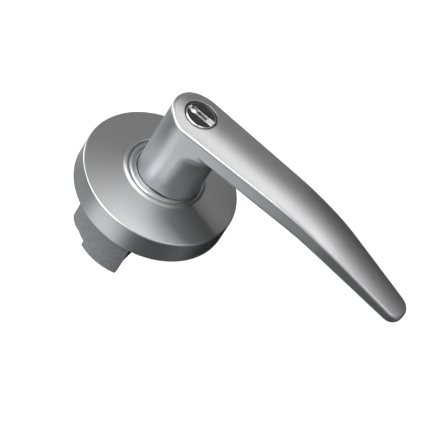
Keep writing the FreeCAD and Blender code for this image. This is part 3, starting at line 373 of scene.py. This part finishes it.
# A coil of two turns whose ends bend down into straight legs beside the stop pin. The bend is the curve
# (1 - t)^2 a + 2 t (1 - t) b + t^2 c between the leg's end a, the corner b and the coil's first point c.
def makeReturnSpring(values):
    start = values["leg"] / values["coil"] - np.pi / 2 + np.radians(values["sweep"])
    stop = np.pi - start + 2 * np.pi * (values["turns"] - 1)
    angle = np.linspace(start, stop, values["coilSteps"])
    level = np.linspace(values["low"], values["high"], len(angle))
    coil = np.column_stack([values["coil"] * np.cos(angle), level, values["coil"] * np.sin(angle)])
    steps = values["legSteps"]

    def leg(side, level, join):
        down = np.column_stack([np.full(steps, side * values["leg"]), np.full(steps, level),
                                np.linspace(values["end"], values["bend"], steps)])
        corner = np.array([side * values["leg"], level, -values["coil"]])
        share = np.linspace(0, 1, steps)[1:-1, None]
        bend = (1 - share) ** 2 * down[-1] + 2 * share * (1 - share) * corner + share ** 2 * join
        return np.concatenate([down, bend])

    path = np.concatenate([leg(1, values["low"], coil[0]), coil, leg(-1, values["high"], coil[-1])[::-1]])
    outward = np.tile((0.0, -1.0, 0.0), (len(path), 1))
    mesh = meshOf("returnCoil", [tube(path, outward, values["wire"], values["around"])])
    piece("returnCoil", mesh, "springSteel", "mount", "spring_steel", "return_spring")


makeReturnSpring(returnSpring)
print("springs coiled")

# cone is a radius and depth on the cone's line; crest is the lip's top, rise its height over that line and
# reach the width over which it falls back; inset is how far the wall's corner lies in from the rim and back
rose = {"foot": 37.8, "edge": 37.45, "edgeDepth": -12.3, "edgeRound": 0.85, "cone": (19.9, -15.7),
        "wall": 1.2, "mouth": 17.65, "crest": 18.45, "lipDepth": 0.95, "rise": 0.50, "reach": 1.75,
        "mouthWall": 1.2, "inset": (0.8, 2.0), "roundGap": 0.05, "around": 200, "sharp": 40}
roseSteps = {"lip": 12, "fall": 20, "cone": 14, "edge": 10}


# The rose's skin from the mouth outwards. The lip is a quarter ellipse up to its crest and then
# y = cone(r) - rise * cos^2(pi / 2 * (r - crest) / reach) down to the cone; the outer edge is a round that
# touches both the cone and the rim, so its centre keeps one distance from both.
def makeRose(values, steps):
    edge, edgeRound, wall = values["edge"], values["edgeRound"], values["wall"]
    mouth, crest, lipDepth = values["mouth"], values["crest"], values["lipDepth"]
    rise, reach = values["rise"], values["reach"]
    lean = (values["edgeDepth"] - values["cone"][1]) / (edge - values["cone"][0])
    tilt = np.arctan(lean)

    def cone(r):
        return values["cone"][1] + lean * (r - values["cone"][0])

    lip = arc((crest, cone(crest) - rise + lipDepth), (crest - mouth, lipDepth), 180, 90, steps["lip"])
    r = np.linspace(crest, crest + reach, steps["fall"])[1:]
    fall = np.column_stack([r, cone(r) - rise * np.cos(np.pi / 2 * (r - crest) / reach) ** 2])
    middle = edge - edgeRound
    depth = cone(middle) + edgeRound / np.cos(tilt)
    r = np.linspace(crest + reach, middle, steps["cone"])[1:]
    r = r[r < middle + edgeRound * np.sin(tilt) - values["roundGap"]]  # stops short of the round
    slope = np.column_stack([r, cone(r)])
    outerEdge = arc((middle, depth), (edgeRound, edgeRound), 90 - np.degrees(tilt), 0, steps["edge"])
    inward, down = values["inset"]
    innerMouth = mouth + values["mouthWall"]
    back = np.array([(values["foot"], 0.0), (values["foot"] - wall, 0.0), (edge - wall, depth + wall),
                     (edge - wall - inward, cone(edge - down) + wall),
                     (innerMouth, cone(innerMouth) + wall), (mouth, cone(mouth) + wall)])
    profile = np.concatenate([lip, fall, slope, outerEdge, back])
    mesh = meshOf("roseSkin", [revolved(profile, values["around"])], values["sharp"])
    piece("roseSkin", mesh, "satinChrome", "mount", "satin_chrome", "rose_cover")


makeRose(rose, roseSteps)

# bead is the radius of the bead's crest line; boreRound gives the two steps that break the bore's edge
collar = {"flange": 21.0, "flangeDepths": (-11.4, -13.4), "bead": 15.95, "beadHalf": 1.55, "crest": -16.8,
          "bore": 13.52, "land": -16.05, "boreRound": (0.06, 0.2), "beadSteps": 28, "around": 160,
          "sharp": 40}


# the collar's bead is a half round; inside it a narrow land leads to the bore, outside it stands on the
# flange that the rose covers
def makeCollar(values):
    centre, half, land, bore = values["bead"], values["beadHalf"], values["land"], values["bore"]
    back, front = values["flangeDepths"]
    small, large = values["boreRound"]
    level = values["crest"] + half
    start = 180 - np.degrees(np.arcsin((level - land) / half))
    bead = arc((centre, level), (half, half), start, 0, values["beadSteps"])
    foot = np.array([(centre + half, front), (values["flange"], front), (values["flange"], back),
                     (bore, back), (bore, land + large), (bore + small, land + small), (bore + large, land)])
    profile = np.concatenate([bead, foot])
    mesh = meshOf("collarBead", [revolved(profile, values["around"])], values["sharp"])
    piece("collarBead", mesh, "satinChrome", "mount", "satin_chrome", "neck_collar")


makeCollar(collar)
print("rose and collar made")

# front is the dark face's depth and proud how far the guide stands out of it; band is half the slot between
# the two dark halves; rails, block and prongs are given by where they start and end in x, or in x and z
plugFace = {
    "front": -57.25, "proud": 0.5, "sunk": 0.2, "disc": 6.45, "discHalf": 0.05, "discSteps": 44,
    "band": 1.12, "rail": 0.45, "railLap": 0.1, "railEnds": (-3.4, 2.6),
    "block": (-6.6, -3.3), "blockRise": (0.36, 0.08), "blockDrop": 0.1, "blockSunk": 0.4,
    "prongs": ((4.6, 6.5, -0.75, -0.40), (3.4, 6.6, 0.6, 1.15)), "prongDrop": 0.05,
    "guideRound": 0.1,
}
plugBulb = {"x": 3.7, "radius": 2.1, "drop": 0.35, "height": 0.42,
            "hole": (5.1, -0.5, 0.45), "holeProud": 0.02, "holeSteps": 20}
plugRim = {"radii": (6.5, 7.0), "front": -57.65, "back": -56.3, "flat": 0.08, "around": 96, "sharp": 40}
plugWards = {"places": (-2.9, 1.5, 6), "half": 0.14, "depth": 0.9, "thick": 0.5}


def plugPiece(name, shapes, finish, sharp=None):
    return piece(name, meshOf(name, shapes, sharp), finish, "plug", "nickel_brass")


# the dark face in two halves, and the bright key guide across it: two rails, the end plate and two prongs
def makePlugFace(values):
    front, band, radius = values["front"], values["band"], values["disc"]
    proud, sunk = front - values["proud"], front + values["sunk"]
    edge = np.arcsin(band / radius)
    turn = np.linspace(edge, np.pi - edge, values["discSteps"])
    halves = [prism(np.column_stack([radius * np.cos(turn), side * radius * np.sin(turn)]),
                    front - values["discHalf"], front + values["discHalf"]) for side in (1, -1)]
    plugPiece("plugDisc", halves, "plugDark").data.shade_flat()
    near = band - values["railLap"]
    far = near + values["rail"]
    start, stop = values["railEnds"]
    rails = [prism(rectangle(start, stop, low, high), proud, sunk)
             for low, high in ((near, far), (-far, -near))]
    high, low = values["blockRise"]
    block = prism(rectangle(*values["block"], -far, far), proud - (high + low) / 2 + values["blockDrop"],
                  front + values["blockSunk"], (high - low) / (2 * far))
    prongs = [prism(rectangle(*place), proud + values["prongDrop"], sunk) for place in values["prongs"]]
    breakEdges(plugPiece("plugGuide", [*rails, block, *prongs], "brightNickel"), values["guideRound"], 3)


# the guide's round bulb, with a near-black disc in it as painted shade of the sighting hole
def makePlugBulb(values, face):
    proud = face["front"] - face["proud"]
    bulb = dome(values["x"], 0, values["radius"], proud + values["drop"], values["height"])
    plugPiece("plugBulb", [bulb], "brightNickel")
    x, z, radius = values["hole"]
    # the hole is not cut: a near-black disc stands in the bulb as painted shade of the hole
    hole = prism(disc(x, z, radius, values["holeSteps"]), proud - values["holeProud"], face["front"])
    plugPiece("sightHoleShade", [hole], "plugDark").data.shade_flat()


# the plug's rim, a chamfer that catches the light round the sunk face
def makePlugRim(values):
    near, far = values["radii"]
    front, back, flat = values["front"], values["back"], values["flat"]
    profile = np.array([(near, back), (near, front), (near + flat, front), (far, front + far - near - flat),
                        (far, back)])
    plugPiece("plugRim", [revolved(profile, values["around"])], "brightNickel", values["sharp"])


# the wards, seen as bars down in the slot
def makePlugWards(values, face):
    half, band = values["half"], face["band"]
    depth = face["front"] + values["depth"]
    bars = [prism(rectangle(x - half, x + half, -band, band), depth, depth + values["thick"])
            for x in np.linspace(*values["places"])]
    plugPiece("plugWards", bars, "plugNickel").data.shade_flat()


makePlugFace(plugFace)
makePlugBulb(plugBulb, plugFace)
makePlugRim(plugRim)
makePlugWards(plugWards, plugFace)

# round is the radius of the lip's inner edge; sink is how far the lip lies under the lever's crown
boreRim = {"outer": 8.62, "inner": 7.75, "round": 0.22, "crest": -58.1, "crown": 42.0, "sink": 0.02,
           "outerSink": 0.5, "deep": -55.8, "roundSteps": 5, "around": 96, "sharp": 50}


# The lip of the cylinder's hole in the lever. Its top follows the crown's arc
# y = crest + R - sqrt(R^2 - z^2), its inner edge is a quarter circle, and its wall goes down to the plug's
# shoulder. Rows run round the hole, and the last one meets the first inside the lever.
def makeBoreRim(values):
    turn = fullRound(values["around"])
    corner = np.linspace(0, np.pi / 2, values["roundSteps"])
    outer, inner, edge, sink = values["outer"], values["inner"], values["round"], values["sink"]
    radii = np.concatenate([[outer, outer], inner + edge * (1 - np.sin(corner)), [inner]])
    drop = np.concatenate([[values["outerSink"], sink], sink + edge * (1 - np.cos(corner)), [0.0]])
    x = radii[:, None] * np.cos(turn)
    z = radii[:, None] * np.sin(turn)
    y = values["crest"] + values["crown"] - np.sqrt(values["crown"] ** 2 - z ** 2) + drop[:, None]
    y[-1] = values["deep"]
    shape = (np.stack([x, y, z], -1).reshape(-1, 3), [ringFaces(len(radii), values["around"], wrapped=True)])
    piece("boreRim", meshOf("boreRim", [shape], values["sharp"]), "satinChrome", "handle", "satin_chrome")


makeBoreRim(boreRim)
print("plug face and bore rim made")

# the plug's flange is drawn in inside the rim: everything past the plug's barrel by one share, and its face
# is sunk
plugFlange = {"barrel": 6.4, "front": -55.5, "share": 0.88, "face": -57.6, "sunk": -57.1}


def drawFlangeIn(mesh, values):
    place = np.zeros(len(mesh.vertices) * 3)
    mesh.vertices.foreach_get("co", place)
    place = place.reshape(-1, 3)
    radius = np.hypot(place[:, 0], place[:, 2])
    flange = (radius > values["barrel"] * mm) & (place[:, 1] < values["front"] * mm)
    place[flange] *= (values["share"], 1, values["share"])
    place[place[:, 1] < values["face"] * mm, 1] = values["sunk"] * mm
    mesh.vertices.foreach_set("co", place.ravel())


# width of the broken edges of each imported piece
brokenEdges = {
    "mounting_plate": 0.15, "spring_cage": 0.12, "hub_bearing": 0.15, "mounting_posts": 0.2,
    "chassis_housing": 0.25, "guide_plate": 0.15, "end_plate": 0.15, "retractor": 0.2, "rollback_cam": 0.2,
    "spindle_sleeve": 0.12, "spring_driver": 0.15, "driver_clip": 0.08, "spindle_clip": 0.08,
    "plug_clip": 0.06, "lever_catch": 0.12, "cylinder_shell": 0.15, "plug": 0.05, "chamber_cover": 0.06,
    "tailpiece": 0.15, "neck_bushing": 0.12, "thrust_washer": 0.1, "stop_pin": 0.12, "cage_rivets": 0.12,
}
flatWithin = 0.3  # faces that turn by less than this are one flat face


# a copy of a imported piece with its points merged, its flat faces made whole and its sharp edges broken
def soften(name, width):
    source = nodes[name]
    work = bmesh.new()
    work.from_mesh(source.data)
    bmesh.ops.remove_doubles(work, verts=work.verts, dist=mergeWithin * mm)
    bmesh.ops.dissolve_limit(work, angle_limit=np.radians(flatWithin), verts=work.verts, edges=work.edges)
    mesh = source.data.copy()
    mesh.name = name + "Soft"
    work.to_mesh(mesh)
    work.free()
    for layer in [item.name for item in mesh.attributes if "custom_normal" in item.name]:
        mesh.attributes.remove(mesh.attributes[layer])
    mesh.shade_smooth()
    if name == "plug":
        drawFlangeIn(mesh, plugFlange)
    body = next(key for key, members in bodies.items() if name in members)
    breakEdges(piece(name + "Soft", mesh, None, body, slots[name], name), width)


for name, width in brokenEdges.items():
    soften(name, width)
print("edges softened")

white = (1.0, 1.0, 1.0)
warm = (1.0, 0.97, 0.935)  # the colour of the front lamps and the cards

studio = {
    "floor": -150.0,            # below the lever's tip when it is turned down
    "floorReach": (-4.0, 4.0),  # m, along x and along y
    "floorColour": (0.80, 0.80, 0.80),
    "floorRough": 0.9,
    "floorShine": 0.1,
    "floorLift": (0.66, 1.0),   # added to what the camera and the metal see, near the object and far off
    "liftReach": (0.4, 1.2),    # m from the middle, where the lift starts and ends its growth
    "world": 0.06,
    "worldColour": (0.96, 0.98, 1.0),
}


# a level rectangle in m, with a corner at each end of its x and y reach
def sheet(name, x, y, level):
    mesh = bpy.data.meshes.new(name)
    mesh.from_pydata([(x[0], y[0], level), (x[1], y[0], level), (x[1], y[1], level), (x[0], y[1], level)],
                     [], [(0, 1, 2, 3)])
    made = bpy.data.objects.new(name, mesh)
    scene.collection.objects.link(made)
    return made


# a wide plane whose finish adds a plain glow where the camera, a reflection or a see-through ray meets it
def makeFloor(values):
    floor = sheet("floor", values["floorReach"], values["floorReach"], values["floor"] * mm)
    material, tree, shader = nodeTree("floorPaint")
    shader.inputs["Base Color"].default_value = (*values["floorColour"], 1)
    shader.inputs["Roughness"].default_value = values["floorRough"]
    shader.inputs["Specular IOR Level"].default_value = values["floorShine"]
    path = add(tree, "ShaderNodeLightPath")
    seenOrMirrored = add(tree, "ShaderNodeMath", operation="MAXIMUM")
    seenAnyway = add(tree, "ShaderNodeMath", operation="MAXIMUM")
    tree.links.new(path.outputs["Is Camera Ray"], seenOrMirrored.inputs[0])
    tree.links.new(path.outputs["Is Glossy Ray"], seenOrMirrored.inputs[1])
    tree.links.new(seenOrMirrored.outputs[0], seenAnyway.inputs[0])
    tree.links.new(path.outputs["Is Transmission Ray"], seenAnyway.inputs[1])
    distance = add(tree, "ShaderNodeVectorMath", operation="LENGTH")
    tree.links.new(add(tree, "ShaderNodeTexCoord").outputs["Object"], distance.inputs[0])
    lift = spread(tree, distance.outputs["Value"], *values["floorLift"], *values["liftReach"])
    glow = add(tree, "ShaderNodeMath", operation="MULTIPLY")
    tree.links.new(seenAnyway.outputs[0], glow.inputs[0])
    tree.links.new(lift, glow.inputs[1])
    shader.inputs["Emission Color"].default_value = (*white, 1)
    tree.links.new(glow.outputs[0], shader.inputs["Emission Strength"])
    floor.data.materials.append(material)


# even grey light from all round, and plain white where the camera looks past the floor
def makeWorld(values):
    world = bpy.data.worlds.new("studio")
    scene.world = world
    world.use_nodes = True
    tree = world.node_tree
    tree.nodes.clear()
    out = add(tree, "ShaderNodeOutputWorld")
    dim = add(tree, "ShaderNodeBackground",
              {"Color": (*values["worldColour"], 1), "Strength": values["world"]})
    plain = add(tree, "ShaderNodeBackground", {"Color": (*white, 1), "Strength": 1.0})
    mix = add(tree, "ShaderNodeMixShader")
    path = add(tree, "ShaderNodeLightPath")
    tree.links.new(path.outputs["Is Camera Ray"], mix.inputs[0])
    tree.links.new(dim.outputs[0], mix.inputs[1])
    tree.links.new(plain.outputs[0], mix.inputs[2])
    tree.links.new(mix.outputs[0], out.inputs["Surface"])


# Every lamp is a square softbox. Its bearing is counted from +X to +Y and its rise from the level. Glow is
# its light per area and angle, far its distance in m from the point it is aimed at, and size its side in m.
softbox = {"aim": (-35, -25, 0), "far": 0.80, "size": 0.42}
lamps = {
    "key": {**softbox, "bearing": 288, "rise": 35, "glow": 4.59, "colour": warm},
    "right": {**softbox, "bearing": 315, "rise": 12, "glow": 4.60, "colour": warm},
    "over": {**softbox, "bearing": 320, "rise": 58, "glow": 5.57, "colour": warm},
    "leftFront": {**softbox, "bearing": 238, "rise": 24, "glow": 1.3, "colour": warm},
    "back": {"bearing": 72, "rise": 41, "glow": 1.22, "colour": white,
             "aim": (-8, -35, 0), "far": 0.32, "size": 0.20},
    "rear": {**softbox, "bearing": 65, "rise": -4, "glow": 1.5, "colour": white, "aim": (0, 10, 0)},
    "left": {**softbox, "bearing": 195, "rise": 12, "glow": 0.5, "colour": white},
}


def makeLamps(values):
    for name, lamp in values.items():
        data = bpy.data.lights.new(name, "AREA")
        data.shape = "SQUARE"
        data.size = lamp["size"]
        data.color = lamp["colour"]
        data.energy = lamp["glow"] * np.pi * lamp["size"] ** 2
        bearing, rise = np.radians(lamp["bearing"]), np.radians(lamp["rise"])
        back = np.array([np.cos(bearing) * np.cos(rise), np.sin(bearing) * np.cos(rise), np.sin(rise)])
        side = np.array([-np.sin(bearing), np.cos(bearing), 0.0])
        light = bpy.data.objects.new(name, data)
        light.matrix_world = facing(side, back, np.array(lamp["aim"]) * mm + back * lamp["far"])
        scene.collection.objects.link(light)


# flat cards under the object, each with its x and y reach and its level in m; the dark one lies lowest
cards = {
    "dark": {"x": (-1.6, 1.6), "y": (-1.6, 1.6), "level": -0.142, "glow": 0.0},
    "lowFront": {"x": (-0.05, 0.10), "y": (-0.50, -0.30), "level": -0.140, "glow": 3.52},
    "lowLeft": {"x": (-0.20, -0.05), "y": (-0.50, -0.30), "level": -0.140, "glow": 2.84},
    "farFront": {"x": (-0.05, 0.10), "y": (-0.90, -0.50), "level": -0.140, "glow": 2.63},
    "farLeft": {"x": (-0.50, -0.20), "y": (-0.90, -0.50), "level": -0.140, "glow": 8.35},
    "under": {"x": (-0.05, 0.30), "y": (-0.15, 0.05), "level": -0.140, "glow": 0.27},
    "farRight": {"x": (0.60, 1.60), "y": (0.05, 0.30), "level": -0.140, "glow": 26.25},
}


# cards that only the metal's reflections meet; neither the camera nor a shadow shows them
def makeCards(values):
    for name, card in values.items():
        made = sheet(name + "Card", card["x"], card["y"], card["level"])
        material, tree, shader = nodeTree(name + "Card")
        shader.inputs["Base Color"].default_value = (0, 0, 0, 1)
        shader.inputs["Roughness"].default_value = 1.0
        shader.inputs["Specular IOR Level"].default_value = 0.0
        shader.inputs["Emission Color"].default_value = (*warm, 1)
        shader.inputs["Emission Strength"].default_value = card["glow"]
        made.data.materials.append(material)
        made.visible_camera = False
        made.visible_shadow = False
        made.visible_diffuse = False
        made.visible_transmission = False


makeFloor(studio)
makeWorld(studio)
makeLamps(lamps)
makeCards(cards)
scene.view_settings.view_transform = "Standard"
print("studio ready")
